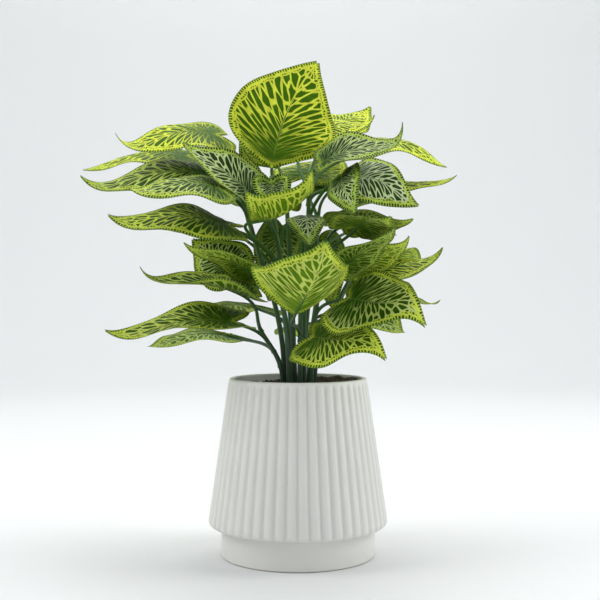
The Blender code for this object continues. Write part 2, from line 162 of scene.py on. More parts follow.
def satin_glaze():
    """Opaque tin-white glaze, dipped and fired.

    It gives the eye a soft broad highlight, a cool off-white with painted shade that greys
    it between the ribs, and an unglazed clay foot whose dark colour is also painted
    shadow where the pot meets the floor.
    """
    made, tree, shader = new_material("satin_white_glaze")
    place = add(tree, "TexCoord").outputs["Object"]
    cloud = add(tree, "TexNoise", {"Vector": place, "Scale": 1 / 0.045, "Detail": 3.0})
    white = add(tree, "Mix", {0: cloud.outputs["Fac"], 6: srgb("#dcdcd6"), 7: srgb("#e8e7e3")},
                data_type="RGBA")
    # Painted shade: the glaze is greyed down in the grooves between the ribs.
    groove = add(tree, "Attribute", attribute_name="groove").outputs["Fac"]
    groove_shade = add(tree, "Mix", {0: groove, 6: white.outputs[2], 7: srgb("#d8d9d4")}, data_type="RGBA")
    # The unglazed clay of the foot, dark enough to be painted shadow where it meets the floor too.
    unglazed_and_shadow = add(tree, "Attribute", attribute_name="unglazed_and_shadow").outputs["Fac"]
    foot_clay_and_shadow = add(tree, "Mix", {0: unglazed_and_shadow, 6: groove_shade.outputs[2], 7: srgb("#a5937c")}, data_type="RGBA")
    tree.links.new(foot_clay_and_shadow.outputs[2], shader.inputs["Base Color"])
    dull = add(tree, "MapRange", {"Value": cloud.outputs["Fac"], "To Min": 0.36, "To Max": 0.46})
    rough = add(tree, "Mix", {0: unglazed_and_shadow, 2: dull.outputs["Result"], 3: 0.9}, data_type="FLOAT")
    tree.links.new(rough.outputs[0], shader.inputs["Roughness"])
    peel = add(tree, "TexNoise", {"Vector": place, "Scale": 1 / 0.0035, "Detail": 2.0})
    add_relief(tree, shader, peel.outputs["Fac"], 0.12, 0.0004)
    return made


profile = rounded_profile(POT_CORNERS, STEPS_PER_CORNER)
outer = np.arange(len(profile)) < 1 + 4 * STEPS_PER_CORNER
side_radii = np.interp(SIDE_ROWS, [27.0, 127.5], [64.88, 50.42])
split = 1 + 3 * STEPS_PER_CORNER
profile = np.vstack([profile[:split], np.column_stack([side_radii, SIDE_ROWS]), profile[split:]])
outer = np.concatenate([outer[:split], np.ones(len(SIDE_ROWS), bool), outer[split:]])
radius, height = profile.T
ribbed = smooth_step(*RIB_FOOT, height) * (1.0 - smooth_step(*RIB_HEAD, height)) * outer
turns = np.arange(RIB_COUNT * STEPS_PER_RIB) / (RIB_COUNT * STEPS_PER_RIB)
across_rib = np.abs(((turns * RIB_COUNT) % 1.0) * 2.0 - 1.0)
rib_shape = 0.25 - 0.85 * (0.5 + 0.5 * np.cos(math.pi * across_rib)) ** 2
wide = radius[:, None] + RIB_DEPTH * ribbed[:, None] * rib_shape[None, :]
angle = 2.0 * math.pi * turns[None, :]
pot_points = np.stack([wide * np.cos(angle), wide * np.sin(angle),
                       np.broadcast_to(height[:, None], wide.shape)], -1)
pot_faces = lidded_faces(len(profile), len(turns))
# Where the painted shade in the grooves between the ribs is strongest.
groove = ribbed[:, None] * (1.0 - across_rib[None, :]) ** 3
# Mask of the unglazed foot, whose dark clay is also painted contact shadow.
unglazed_and_shadow = np.broadcast_to((outer * (1.0 - smooth_step(0.2, 0.9, height)))[:, None], wide.shape)
add_piece("pot_glazed", pot_points.reshape(-1, 3), pot_faces, [satin_glaze()], ["pot"],
          {"groove": groove.ravel(), "unglazed_and_shadow": unglazed_and_shadow.ravel()}, 50.0)


# The soil. Dark peat and fine bark fill the pot to just under the lip, heaped a little
# towards the back right. The stems are pushed into it, and loose crumbs of bark and
# peat lie on top.
SOIL_TOP = 124.0
SOIL_HEAP = 1.5
SOIL_SLOPE = (0.065, 0.02)
SOIL_FLOOR = 9.4
SOIL_R = 46.0
SOIL_COLUMNS = 180
WAVES = 70
waves = np.random.default_rng(11)
wave_length = waves.uniform(3.0, 26.0, WAVES)
wave_way = waves.uniform(0.0, 2.0 * math.pi, WAVES)
wave_start = waves.uniform(0.0, 2.0 * math.pi, WAVES)


def soil_height(x, y):
    """Height of the soil: a slope, a flat heap, and seventy plane waves added up.

    The waves are 3 to 26 mm long, run in random directions, and each is 0.9 % of its
    length high, so that the sum looks like broken ground at every size.
    """
    base = SOIL_TOP + SOIL_SLOPE[0] * x + SOIL_SLOPE[1] * y
    heap = SOIL_HEAP * (1.0 - (x * x + y * y) / SOIL_R**2)
    run = x[..., None] * np.cos(wave_way) + y[..., None] * np.sin(wave_way)
    rough = 0.009 * wave_length * np.sin(2.0 * math.pi * run / wave_length + wave_start)
    return base + heap + rough.sum(-1)


def potting_mix():
    """Peat, compost and bark, damp and crumbly.

    It gives the eye near-black brown with lighter fibres, and almost no shine.
    """
    made, tree, shader = new_material("peat_potting_mix")
    place = add(tree, "TexCoord").outputs["Object"]
    grain = add(tree, "TexNoise", {"Vector": place, "Scale": 1 / 0.0022, "Detail": 6.0,
                                   "Roughness": 0.7})
    fibre = add(tree, "TexVoronoi", {"Vector": place, "Scale": 1 / 0.003}, feature="F1")
    dark = add(tree, "Mix", {0: grain.outputs["Fac"], 6: srgb("#17120d"), 7: srgb("#4a3c2d")},
               data_type="RGBA")
    light = add(tree, "MapRange", {"Value": fibre.outputs["Distance"], "From Min": 0.12,
                                   "From Max": 0.02, "To Max": 0.5})
    brown = add(tree, "Mix", {0: light.outputs["Result"], 6: dark.outputs[2], 7: srgb("#7b684e")},
                data_type="RGBA")
    tree.links.new(brown.outputs[2], shader.inputs["Base Color"])
    shader.inputs["Roughness"].default_value = 0.95
    add_relief(tree, shader, grain.outputs["Fac"], 0.9, 0.0012)
    return made


soil_look = potting_mix()
share = np.concatenate([np.linspace(0.04, 0.97, 40), [0.99, 1.0]])
turn = 2.0 * math.pi * np.arange(SOIL_COLUMNS) / SOIL_COLUMNS
rim_height = SOIL_TOP + SOIL_SLOPE[0] * SOIL_R * np.cos(turn) + SOIL_SLOPE[1] * SOIL_R * np.sin(turn)
rim_radius = 46.9 + 0.12 * (127.4 - rim_height)
x = share[:, None] * rim_radius * np.cos(turn)
y = share[:, None] * rim_radius * np.sin(turn)
z = soil_height(x, y) - 1.2 * smooth_step(0.96, 1.0, share)[:, None]
top = np.stack([x, y, z], -1)[::-1]
wall_r = np.array([47.0, 51.5, 58.8, 59.0])
wall_z = np.array([SOIL_FLOOR, 14.0, 32.0, 40.0])
wall = np.stack([wall_r[:, None] * np.cos(turn), wall_r[:, None] * np.sin(turn),
                 np.broadcast_to(wall_z[:, None], (len(wall_z), SOIL_COLUMNS))], -1)
soil_points = np.concatenate([wall, top])
add_piece("soil_body", soil_points.reshape(-1, 3), lidded_faces(len(soil_points), SOIL_COLUMNS),
          [soil_look], ["soil"])

# Crumbs: each is a stretched, turned twenty-sided lump, half sunk in the ground.
CRUMBS = 320
golden = (1.0 + math.sqrt(5.0)) / 2.0
lump = np.array([(-1, golden, 0), (1, golden, 0), (-1, -golden, 0), (1, -golden, 0),
                 (0, -1, golden), (0, 1, golden), (0, -1, -golden), (0, 1, -golden),
                 (golden, 0, -1), (golden, 0, 1), (-golden, 0, -1), (-golden, 0, 1)]) / 1.9
lump_faces = np.array([(0, 11, 5), (0, 5, 1), (0, 1, 7), (0, 7, 10), (0, 10, 11),
                       (1, 5, 9), (5, 11, 4), (11, 10, 2), (10, 7, 6), (7, 1, 8),
                       (3, 9, 4), (3, 4, 2), (3, 2, 6), (3, 6, 8), (3, 8, 9),
                       (4, 9, 5), (2, 4, 11), (6, 2, 10), (8, 6, 7), (9, 8, 1)])
scatter = np.random.default_rng(23)
reach = 44.0 * np.sqrt(scatter.uniform(0.0, 1.0, CRUMBS))
spot = scatter.uniform(0.0, 2.0 * math.pi, CRUMBS)
size = scatter.uniform(0.5, 1.3, (CRUMBS, 1, 3))
size = size * np.where(scatter.uniform(0, 1, (CRUMBS, 1, 1)) < 0.12, 1.7, 1.0)
spin = scatter.uniform(0.0, 2.0 * math.pi, CRUMBS)
body = lump[None] * size * scatter.uniform(0.75, 1.2, (CRUMBS, len(lump), 1))
turned = np.stack([body[..., 0] * np.cos(spin)[:, None] - body[..., 1] * np.sin(spin)[:, None],
                   body[..., 0] * np.sin(spin)[:, None] + body[..., 1] * np.cos(spin)[:, None],
                   body[..., 2] * 0.7], -1)
seat_x, seat_y = reach * np.cos(spot), reach * np.sin(spot)
seat = np.stack([seat_x, seat_y, soil_height(seat_x, seat_y)], -1)
crumb_points = (turned + seat[:, None]).reshape(-1, 3)
crumb_faces = (lump_faces[None] + len(lump) * np.arange(CRUMBS)[:, None, None]).reshape(-1, 3)
add_piece("soil_crumbs", crumb_points, crumb_faces.tolist(), [soil_look], [], sharp=20.0)


# The leaves. Each is a heat-pressed blade of printed polyester cloth: heart-shaped round
# the notch where its stalk joins, with arched side veins pressed in as shallow pleats, a
# waved margin and a drip tip. They are listed before the stems, which run to them.
BLADE = 0.5
STALK_R = 1.25
SOLID_BLADE = 0.8
GAP = 0.3
# One row for each leaf, numbered from 1: stem, place where the stalk meets the blade,
# tip, the way the printed face looks, width, arch of the midrib, rise of the drip tip,
# lift of the two edges, twist in degrees, sideways bow, how far the lobes reach back;
# then how far painted light shining through the cloth turns the print yellow, and how
# pale its lines are, which is partly the print and partly painted sheen. Lengths in mm.
LEAF_TABLE = [
    ("stem_01", (-19, -12, 281), (16, 14, 365), (0.1, -1.0, 0.3), 80, 4, 0, 5, 3, 0, 6, 0.2, 1.0, 0.0),
    ("stem_01", (-14, 30, 286), (-36, 44, 346), (0.1, 1.0, 0.3), 46, 4, 0, -3, -3, 0, -3, 0, 0.8, 0.0),
    ("stem_02", (26, 62, 318), (60, 94, 347), (0.2, -0.3, 0.9), 44, 4, 6, -3, -4, 0, 0, 0.4, 1.0, 0.0),
    ("stem_02", (6, 30, 308), (59, 30, 329), (0.3, -0.4, 0.85), 44, 4, 8, -3, -3, 0, 0, 1, 1.0, 0.0),
    ("stem_02", (42, 32, 301), (114, 24, 286), (0.25, -0.4, 0.9), 56, 14, 4, -4, -4, 0, 0, 1, 0.9, 0.0),
    ("stem_02", (13, -42, 280), (71, -56, 310), (0.0, -0.5, 0.86), 48, 0, 14, 3, 3, 0, 0, 0.6, 0.1, 0.5),
    ("stem_02", (30, -16, 271), (86, -34, 252), (0.0, -0.72, 0.7), 56, 14, 6, -3, -3, 0, 0, 0.5, 0.2, 1.0),
    ("stem_08", (33, 2, 243), (82, -34, 244), (0.0, 0.35, 0.93), 50, 4, 5, -3, -3, 0, 0, 1, 0.6, 0.2),
    ("stem_08", (39, -34, 236), (62, -82, 242), (0.1, 0.4, 0.9), 44, 4, 5, -3, -3, 0, 0, 1, 0.5, 0.2),
    ("stem_02", (30, -48, 273), (36, -92, 242), (-0.6, -0.5, 0.5), 30, 4, 4, -2, -2, 0, 0, 1, 0.0, 0.6),
    ("stem_06", (-34, -48, 241), (9, -92, 272), (-0.45, -0.05, 0.9), 62, -12, 2, 8, 22, 0, 0, 0, 0.9, 0.0),
    ("stem_07", (5, -16, 247), (8, -64, 223), (0.0, -0.5, 0.85), 30, 6, 4, -3, -3, 0, 0, 1, 0.0, 0.7),
    ("stem_01", (-19, -34, 271), (-16, -40, 246), (0.1, -1.0, 0.1), 28, 2, 0, 3, 3, 0, 0, 1, 0.0, 0.7),
    ("stem_04", (-24, 25, 263), (-42, 16, 302), (-0.75, -0.55, 0.3), 32, 3, 0, 3, 3, 0, 0, 0, 0.6, 0.0),
    ("stem_04", (-44, 62, 284), (-88, 106, 302), (-0.2, -0.1, 0.95), 54, 5, 4, -2, -2, 0, 0, 1, 0.6, 0.0),
    ("stem_05", (-58, 14, 309), (-134, -8, 310), (0.0, -0.48, 0.87), 62, 4, 14, -3, -3, 0, 0, 1, 0.95, 0.0),
    ("stem_05", (-84, 54, 299), (-172, 60, 289), (0.0, -0.35, 0.94), 58, 8, 4, -3, -3, 0, 0, 1, 0.7, 0.0),
    ("stem_05", (-58, -4, 277), (-159, -14, 278), (0.0, -0.5, 0.87), 60, 5, 13, -3, -3, 0, 0, 1, 0.35, 0.2),
    ("stem_05", (-52, -48, 263), (-117, -66, 266), (0.0, -0.45, 0.9), 48, 4, 9, -3, -3, 0, 0, 1, 0.35, 0.3),
    ("stem_06", (-46, -30, 238), (-132, -50, 246), (-0.1, -0.4, 0.9), 60, 6, 8, -3, -4, 10, 0, 1, 0.5, 0.0),
    ("stem_04", (-29, -20, 256), (-82, -34, 298), (0.45, -0.6, 0.65), 58, 4, 3, 8, 3, 0, 0, 1, 0.1, 0.7),
    ("stem_11", (-50, 50, 208), (-86, 74, 236), (-0.1, -0.85, 0.5), 48, 4, 4, -3, -3, 0, 0, 1, 0.3, 0.5),
    ("stem_06", (-30, -28, 203), (-78, -60, 226), (0.1, 0.3, 0.93), 36, 4, 4, -2, -2, 0, 0, 1, 0.4, 0.0),
    ("stem_12", (-34, -12, 188), (-113, -26, 212), (0.1, -0.3, 0.95), 62, 2, 10, 13, 2, 0, 0, 1, 0.4, 0.2),
    ("stem_12", (-44, -20, 171), (-137, -36, 166), (0.0, -0.45, 0.9), 60, 4, 8, 9, -2, 0, 0, 1, 0.6, 0.2),
    ("stem_12", (-52, 32, 160), (-121, 68, 149), (-0.2, 0.3, 0.9), 56, 5, 3, -2, -2, 0, 0, 1, 0.4, 0.3),
    ("stem_07", (-3, -50, 176), (18, -98, 226), (-0.15, 0.6, 0.8), 80, -6, 3, 22, 16, 0, 0, 0, 0.8, 0.2),
    ("stem_08", (30, -22, 206), (67, -50, 237), (-0.3, 0.3, 0.9), 50, 3, 4, -2, -2, 0, 0, 1, 0.2, 0.0),
    ("stem_09", (37, 2, 203), (81, -8, 234), (-0.2, 0.45, 0.9), 48, 2, 6, -2, -2, 0, 0, 0.5, 0.7, 0.0),
    ("stem_09", (48, 40, 198), (113, 44, 229), (0.0, -0.3, 0.95), 56, 3, 8, -3, -3, 0, 0, 1, 0.6, 0.0),
    ("stem_08", (34, -26, 188), (88, -62, 165), (-0.1, -0.8, 0.65), 64, 6, -14, -3, -3, 0, 0, 1, 0.5, 0.4),
    ("stem_07", (8, -31, 160), (61, -61, 143), (0.0, -0.7, 0.7), 56, 6, -10, -3, -3, 0, 0, 1, 0.6, 0.1),
    ("stem_03", (22, 36, 270), (78, 90, 292), (0.3, 0.1, 0.9), 58, 6, 6, -3, -3, 0, 0, 1, 0.6, 0.1),
    ("stem_03", (6, 50, 282), (24, 118, 308), (0.0, -0.1, 0.95), 60, 6, 6, -3, -3, 0, 0, 1, 0.8, 0.0),
    ("stem_04", (-22, 44, 262), (-50, 112, 284), (-0.1, 0.2, 0.9), 60, 6, 6, -3, -3, 0, 0, 1, 0.5, 0.2),
    ("stem_11", (-48, 42, 240), (-112, 86, 246), (-0.3, 0.3, 0.9), 60, 6, 6, -3, -3, 0, 0, 1, 0.3, 0.4),
    ("stem_03", (44, 46, 244), (70, 104, 236), (0.3, 0.2, 0.9), 58, 7, 6, -3, -3, 0, 0, 1, 0.5, 0.1),
    ("stem_09", (60, 64, 222), (104, 112, 214), (0.2, 0.4, 0.9), 56, 7, 6, -3, -3, 0, 0, 1, 0.7, 0.0),
    ("stem_10", (16, 60, 236), (30, 96, 178), (0.2, 0.9, 0.4), 40, 7, 6, -3, -3, 0, 0, 1, 0.3, 0.3),
    ("stem_11", (-12, 44, 244), (-24, 78, 184), (-0.2, 0.9, 0.4), 40, 7, 6, -3, -3, 0, 0, 1, 0.2, 0.4),
    ("stem_11", (-32, 40, 182), (-88, 96, 168), (-0.2, 0.4, 0.9), 60, 7, 6, -3, -3, 0, 0, 1, 0.6, 0.1),
    ("stem_10", (32, 38, 178), (88, 92, 160), (0.2, 0.4, 0.9), 60, 7, 6, -3, -3, 0, 0, 1, 0.4, 0.3),
    ("stem_10", (6, 42, 168), (34, 106, 146), (0.0, 0.4, 0.9), 60, 7, 6, -3, -3, 0, 0, 1, 0.7, 0.0),
    ("stem_09", (54, -4, 181), (108, 22, 187), (0.1, 0.1, 1.0), 44, 6, 6, -3, -3, 0, 0, 1, 0.5, 0.2),
    ("stem_03", (46, 36, 262), (119, 8, 280), (0.0, -0.35, 0.94), 50, 5, 6, -3, -3, 0, 0, 1, 0.8, 0.0),
]
LEAVES = [(f"leaf_{number:02d}", *row) for number, row in enumerate(LEAF_TABLE, 1)]
# Half outline of a blade: place on the midrib, place along the leaf of the margin that
# its side vein runs to, that place on a blade without lobes, and the margin's distance
# from the midrib as a share of the half width.
OUTLINE = [
    (0.000, 0.000, 0.000, 0.00),
    (0.004, -0.080, 0.070, 0.24),
    (0.012, -0.120, 0.150, 0.51),
    (0.028, -0.080, 0.230, 0.78),
    (0.055, 0.040, 0.310, 0.95),
    (0.100, 0.200, 0.390, 1.00),
    (0.165, 0.375, 0.490, 0.93),
    (0.260, 0.540, 0.610, 0.76),
    (0.400, 0.700, 0.740, 0.52),
    (0.630, 0.860, 0.870, 0.25),
    (1.000, 1.000, 1.000, 0.00),
]
VEINS = 24
CELLS_ALONG_VEIN = 2.2
CELL_SLANT = 0.8
LADDER_PITCH = 2.1
LADDER_DEPTH = 5.2


def through(rows, t):
    """Smooth cubic (Catmull-Rom) curve through evenly spaced rows, read at t from 0 to 1."""
    rows = np.asarray(rows, dtype=float)
    padded = np.vstack([2 * rows[0] - rows[1], rows, 2 * rows[-1] - rows[-2]])
    place = np.clip(t, 0.0, 1.0) * (len(rows) - 1)
    low = np.minimum(place.astype(int), len(rows) - 2)
    f = (place - low)[..., None]
    p0, p1, p2, p3 = (padded[low + k] for k in range(4))
    bend = -p0 + 3 * p1 - 3 * p2 + p3
    return p1 + 0.5 * f * (p2 - p0 + f * (2 * p0 - 5 * p1 + 4 * p2 - p3 + f * bend))


def unit(vector):
    """Vectors scaled to length one along the last axis."""
    vector = np.asarray(vector, dtype=float)
    return vector / np.linalg.norm(vector, axis=-1, keepdims=True)


def blade_surface(leaf, t, v):
    """Middle surface of a blade in mm, its normals, and each point's place on the midrib.

    A side vein is a line of constant t. It leaves the midrib at the outline's first
    place and runs straight to the margin's place. The midrib is an arch,
    4 s (1 - s) high, from which the drip tip rises as s4 (1 - s) over that curve's peak.
    Each half curls as the power 1.5 of its distance from the midrib, and the margin
    waves 2.6 times.
    """
    number = int(leaf[0][-2:])
    base, tip, face = (np.array(p, dtype=float) for p in leaf[2:5])
    width, arch, hook, lift_a, lift_b, twist, side, lobe = leaf[5:13]
    length = np.linalg.norm(tip - base)
    along = unit(tip - base)
    up = unit(face - along * np.dot(face, along))
    across = np.cross(up, along)
    rib, lobed, plain, spread = np.moveaxis(through(OUTLINE, t), -1, 0)
    reach = lobe * lobed + (1.0 - lobe) * plain
    edge = np.abs(v)
    s = rib + (reach - rib) * edge
    w = np.sign(v) * spread * edge * width / 2.0
    peak = 0.08192  # the highest value of s4 (1 - s)
    lift = arch * 4.0 * s * (1.0 - s) - hook * s**4 * (1.0 - s) / peak
    slope = arch * (4.0 - 8.0 * s) - hook * (4.0 * s**3 - 5.0 * s**4) / peak
    bow = side * 4.0 * s * (1.0 - s)
    drift = side * (4.0 - 8.0 * s)
    spine = base + along * (length * s)[..., None] + up * lift[..., None] + across * bow[..., None]
    run = unit(along * length + up * slope[..., None] + across * drift[..., None])
    normal = unit(up - run * (run @ up)[..., None])
    flat = np.cross(normal, run)
    turn = np.radians(twist) * s
    cos, sin = np.cos(turn)[..., None], np.sin(turn)[..., None]
    normal, flat = normal * cos + flat * sin, flat * cos - normal * sin
    part = np.abs(w) / (width / 2.0)
    curl = np.where(v >= 0.0, lift_a, lift_b)
    w = w * np.sqrt(1.0 - part * (curl / (width / 2.0)) ** 2)
    phase = 0.618 * number + np.where(v >= 0.0, 0.0, 0.37)
    wave = 0.035 * width * np.sin(2.0 * np.pi * (2.6 * t + phase)) * np.sin(np.pi * t)
    height = curl * part**1.5 + wave * edge**2
    tilt = np.sign(v) * 1.5 * curl * part**0.5 / (width / 2.0)
    points = spine + flat * w[..., None] + normal * height[..., None]
    return points, unit(normal - flat * tilt[..., None]), s


def margin_fields(points, margin):
    """For each point, how far along the margin its nearest spot lies, and how far off, mm.

    Every point is projected on every straight piece of the closed margin line, the
    projection is held within that piece, and the nearest one counts.
    """
    start, step = margin, np.roll(margin, -1, axis=0) - margin
    length = np.linalg.norm(step, axis=1)
    walked = np.concatenate([[0.0], np.cumsum(length)[:-1]])
    away = points[:, None, :] - start[None]
    u = np.clip((away * step[None]).sum(-1) / np.maximum(length**2, 1e-9)[None], 0.0, 1.0)
    gap = np.linalg.norm(away - u[..., None] * step[None], axis=-1)
    nearest = gap.argmin(1)
    row = np.arange(len(points))
    return walked[nearest] + u[row, nearest] * length[nearest], gap[row, nearest]


def printed_cloth(name, cell_dark, cell_lit, vein_pale, vein_green, vein_lit, contrast, roughness):
    """Polyester cloth, printed by heat transfer and pressed over a vein-shaped mould.

    It gives the eye a net of light veins round dark lozenges, a ladder of short cells
    along the margin, a soft satin shine on the pleats and a fine cloth grain. The net
    and the ladder are cell edges: the net's cells are one side vein wide and under half
    the way to the margin long, and the ladder's are 2.1 mm by 5.2 mm. The weave, about
    0.25 mm, is drawn twice as coarse to show.
    """
    made, tree, shader = new_material(name)
    raw = add(tree, "SeparateXYZ", {0: add(tree, "Attribute", attribute_name="net").outputs["Vector"]})
    side = add(tree, "Math", {0: raw.outputs["Y"], 1: 0.0}, operation="GREATER_THAN")
    other = add(tree, "Math", {0: side.outputs[0], 1: 17.3, 2: raw.outputs["Z"]}, operation="MULTIPLY_ADD")
    off = add(tree, "Math", {0: raw.outputs["Y"]}, operation="ABSOLUTE")
    slant = add(tree, "Math", {0: raw.outputs["X"], 1: CELL_SLANT, 2: other.outputs[0]},
                operation="MULTIPLY_ADD")
    along = add(tree, "Math", {0: off.outputs[0], 1: CELLS_ALONG_VEIN, 2: slant.outputs[0]},
                operation="MULTIPLY_ADD")
    net = add(tree, "CombineXYZ", {"X": raw.outputs["X"], "Y": along.outputs[0]}).outputs[0]
    rim = add(tree, "SeparateXYZ", {0: add(tree, "Attribute", attribute_name="rim").outputs["Vector"]})
    tone = add(tree, "SeparateXYZ", {0: add(tree, "Attribute", attribute_name="tone").outputs["Vector"]})
    away, ribline = rim.outputs["Y"], rim.outputs["Z"]
    zone, lit, pale_sheen = tone.outputs["X"], tone.outputs["Y"], tone.outputs["Z"]
    # Veins: edges of long cells whose rows follow the side veins, bent a little.
    bend = add(tree, "TexNoise", {"Vector": net, "Scale": 1.3, "Detail": 1.0})
    bent = add(tree, "VectorMath", {0: bend.outputs["Color"], 1: (0.3, 0.3, 0.0), 2: net},
               operation="MULTIPLY_ADD")
    cells = add(tree, "TexVoronoi", {"Vector": bent.outputs[0], "Scale": 1.0, "Randomness": 0.6},
                feature="DISTANCE_TO_EDGE", voronoi_dimensions="2D")
    # A cell is several times as long as it is wide, so its ends are given a smaller
    # distance than its sides, by how far the spot lies lengthwise from the cell's centre.
    nearest = add(tree, "TexVoronoi", {"Vector": bent.outputs[0], "Scale": 1.0, "Randomness": 0.6},
                  voronoi_dimensions="2D")
    offset = add(tree, "VectorMath", {0: bent.outputs[0], 1: nearest.outputs["Position"]},
                 operation="SUBTRACT")
    sides = add(tree, "VectorMath", {0: offset.outputs[0]}, operation="ABSOLUTE")
    parts = add(tree, "SeparateXYZ", {0: sides.outputs[0]})
    both = add(tree, "Math", {0: parts.outputs["X"], 1: parts.outputs["Y"]}, operation="ADD")
    ratio = add(tree, "Math", {0: parts.outputs["Y"], 1: both.outputs[0]}, operation="DIVIDE")
    thin = add(tree, "MapRange", {"Value": ratio.outputs[0], "From Min": 0.45, "From Max": 0.85,
                                  "To Min": 1.0, "To Max": 0.35})
    broad = add(tree, "MapRange", {"Value": zone, "To Min": 0.06, "To Max": 0.12})
    half = add(tree, "Math", {0: broad.outputs["Result"], 1: thin.outputs["Result"]}, operation="MULTIPLY")
    soft = add(tree, "Math", {0: half.outputs[0], 1: 0.05}, operation="ADD")
    veins = add(tree, "MapRange", {"Value": cells.outputs["Distance"], "From Min": half.outputs[0],
                                   "From Max": soft.outputs[0], "To Min": 1.0, "To Max": 0.0})
    # Ladder: edges of small upright cells in rows along the margin.
    rungs = add(tree, "VectorMath", {0: add(tree, "Attribute", attribute_name="rim").outputs["Vector"],
                                     1: (1 / LADDER_PITCH, 1 / LADDER_DEPTH, 0.0)}, operation="MULTIPLY")
    blocks = add(tree, "TexVoronoi", {"Vector": rungs.outputs[0], "Scale": 1.0, "Randomness": 0.28},
                 feature="DISTANCE_TO_EDGE", voronoi_dimensions="2D")
    ladder = add(tree, "MapRange", {"Value": blocks.outputs["Distance"], "From Min": 0.14, "From Max": 0.22,
                                    "To Min": 1.0, "To Max": 0.0})
    wander = add(tree, "TexNoise", {"Vector": net, "Scale": 0.8, "Detail": 1.0})
    depth = add(tree, "MapRange", {"Value": wander.outputs["Fac"], "From Min": 0.35, "From Max": 0.65,
                                   "To Min": 4.2, "To Max": 6.4})
    inside = add(tree, "Math", {0: away, 1: depth.outputs["Result"]}, operation="GREATER_THAN")
    mesh_lines = add(tree, "Mix", {0: inside.outputs[0], 2: ladder.outputs["Result"],
                                   3: veins.outputs["Result"]})
    # The midrib and the line that closes the ladder off from the net.
    shore = add(tree, "Math", {0: away, 1: depth.outputs["Result"], 2: 0.55}, operation="COMPARE")
    lines = add(tree, "Math", {0: mesh_lines.outputs[0], 1: shore.outputs[0]}, operation="MAXIMUM")
    spine = add(tree, "MapRange", {"Value": ribline, "From Min": 0.45, "From Max": 0.8,
                                   "To Min": 1.0, "To Max": 0.0})
    all_lines = add(tree, "Math", {0: lines.outputs[0], 1: spine.outputs["Result"]}, operation="MAXIMUM")
    # Colours: the veins go from green at the stalk to yellow or pale grey-green outwards.
    # The yellow veins and the lighter cells that go with them are painted light shining
    # through the cloth; the pale grey-green inside the net is partly the print and partly
    # a painted sheen.
    sunny = add(tree, "Mix", {0: lit, 6: srgb(vein_pale), 7: srgb(vein_lit)}, data_type="RGBA")
    # Painted sheen together with the print: the lines inside the net go pale grey-green.
    inner = add(tree, "Math", {0: inside.outputs[0], 1: pale_sheen}, operation="MULTIPLY")
    sheen_grey = add(tree, "Mix", {0: inner.outputs[0], 6: sunny.outputs[2], 7: srgb("#c6d7a0")},
               data_type="RGBA")
    vein = add(tree, "Mix", {0: zone, 6: srgb(vein_green), 7: sheen_grey.outputs[2]}, data_type="RGBA")
    cell = add(tree, "Mix", {0: lit, 6: srgb(cell_dark), 7: srgb(cell_lit)}, data_type="RGBA")
    shown = add(tree, "Math", {0: all_lines.outputs[0], 1: contrast}, operation="MULTIPLY")
    print_and_light = add(tree, "Mix", {0: shown.outputs[0], 6: cell.outputs[2], 7: vein.outputs[2]},
                  data_type="RGBA")
    # The cut edge shows the green of the cloth, and the print is a little uneven.
    cut = add(tree, "MapRange", {"Value": away, "From Min": 0.35, "From Max": 0.75,
                                 "To Min": 0.8, "To Max": 0.0})
    edged = add(tree, "Mix", {0: cut.outputs["Result"], 6: print_and_light.outputs[2], 7: srgb("#5d7d3a")},
                data_type="RGBA")
    place = add(tree, "TexCoord").outputs["Object"]
    mottle = add(tree, "TexNoise", {"Vector": place, "Scale": 1 / 0.006, "Detail": 3.0})
    value = add(tree, "MapRange", {"Value": mottle.outputs["Fac"], "From Min": 0.3, "From Max": 0.7,
                                   "To Min": 0.82, "To Max": 1.14})
    mottled = add(tree, "HueSaturation", {"Color": edged.outputs[2], "Value": value.outputs["Result"]})
    tree.links.new(mottled.outputs["Color"], shader.inputs["Base Color"])
    sheen = add(tree, "MapRange", {"Value": all_lines.outputs[0], "To Min": roughness,
                                   "To Max": roughness + 0.12})
    tree.links.new(sheen.outputs["Result"], shader.inputs["Roughness"])
    shader.inputs["Specular IOR Level"].default_value = 0.1
    weave = add(tree, "TexNoise", {"Vector": place, "Scale": 1 / 0.0005, "Detail": 1.0})
    relief = add(tree, "Math", {0: weave.outputs["Fac"], 1: 0.25, 2: all_lines.outputs[0]},
                 operation="MULTIPLY_ADD")
    add_relief(tree, shader, relief.outputs[0], 0.35, 0.0003)
    return made


face_print = printed_cloth("printed_leaf_face", cell_dark="#0e2802", cell_lit="#436d04",
                           vein_pale="#a4bf4e", vein_green="#33600a", vein_lit="#e6f04a",
                           contrast=0.97, roughness=0.5)
# The back's colours are paler than the face's: the cloth's own paler back, lightened further by painted
# light shining through the cloth.
back_print = printed_cloth("printed_leaf_back", cell_dark="#375708", cell_lit="#5f8410",
                           vein_pale="#a3bd56", vein_green="#4f7814", vein_lit="#d0de4c",
                           contrast=0.92, roughness=0.6)

